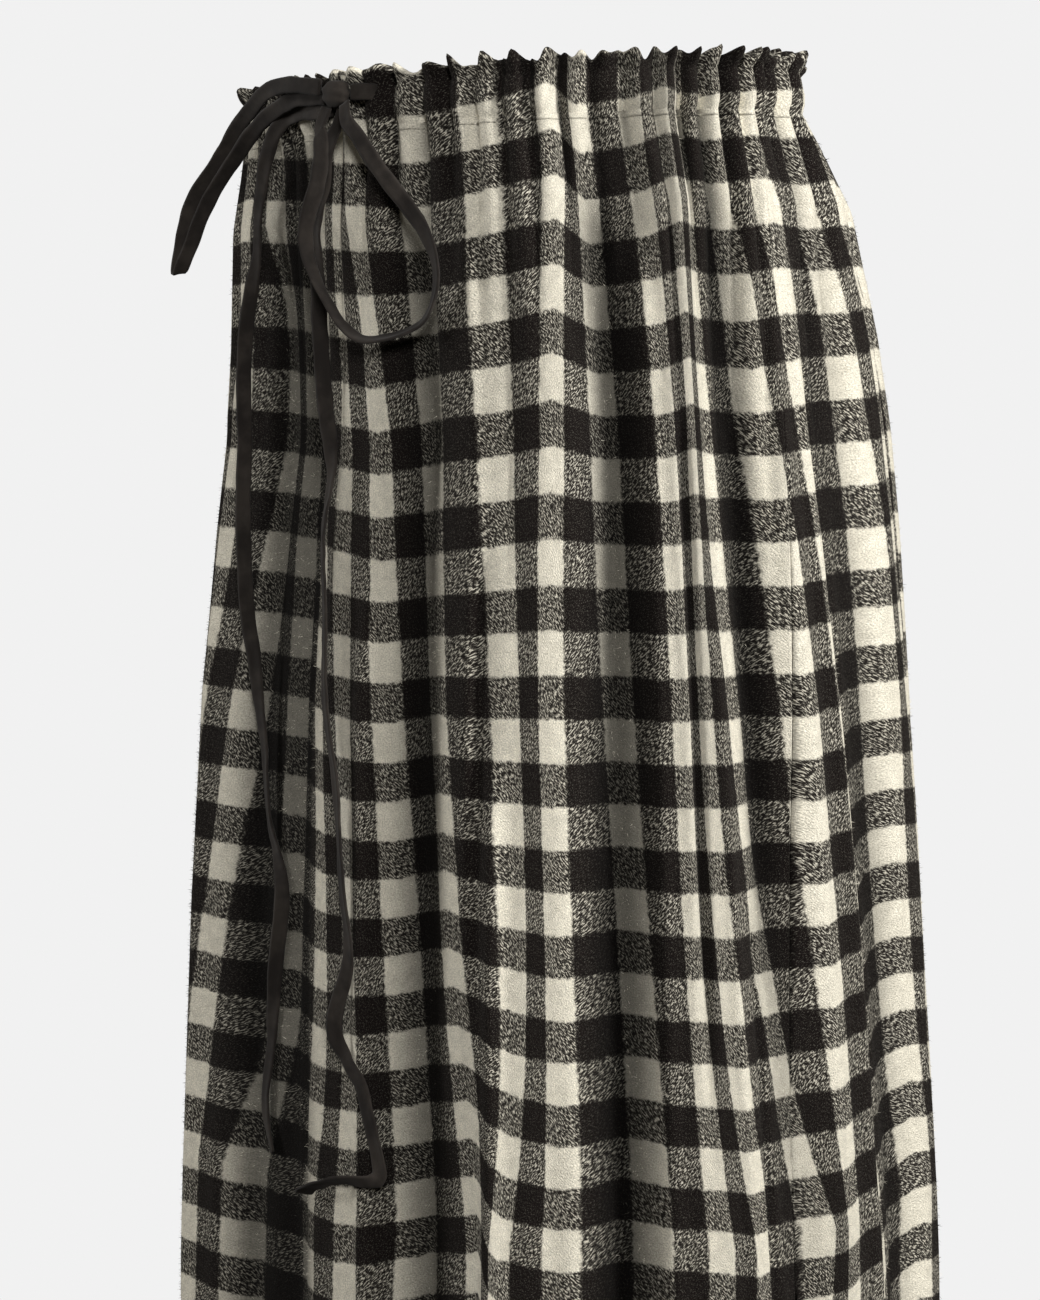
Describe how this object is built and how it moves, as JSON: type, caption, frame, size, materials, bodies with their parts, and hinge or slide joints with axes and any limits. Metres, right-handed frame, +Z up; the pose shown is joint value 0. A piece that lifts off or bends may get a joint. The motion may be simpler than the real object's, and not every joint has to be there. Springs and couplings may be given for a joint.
{
  "type": "drawstring skirt",
  "caption": "Long gathered skirt of checked brushed wool, held at the waist by a flat drawstring tied in a bow at the front.",
  "frame": {"origin": "The middle of the waist, at the height of the drawstring at the front, where the wearer's waist holds the skirt.", "axes": "+Z up, along the skirt's length. The front, with the bow, faces -Y. +X is the wearer's left."},
  "size_m": [0.4274, 0.3985, 0.893],
  "materials": {
    "checked_wool": "brushed woollen cloth in a cream and brown-black check",
    "dark_cord": "matte brown-black cotton tie"
  },
  "bodies": {
    "root": {"front_panel": "checked_wool", "back_panel": "checked_wool", "waist_casing": "checked_wool", "drawstring_knot": "dark_cord", "drawstring_loop_left": "dark_cord", "drawstring_loop_right": "dark_cord", "drawstring_tail_left": "dark_cord", "drawstring_tail_right": "dark_cord"}
  },
  "joints": []
}
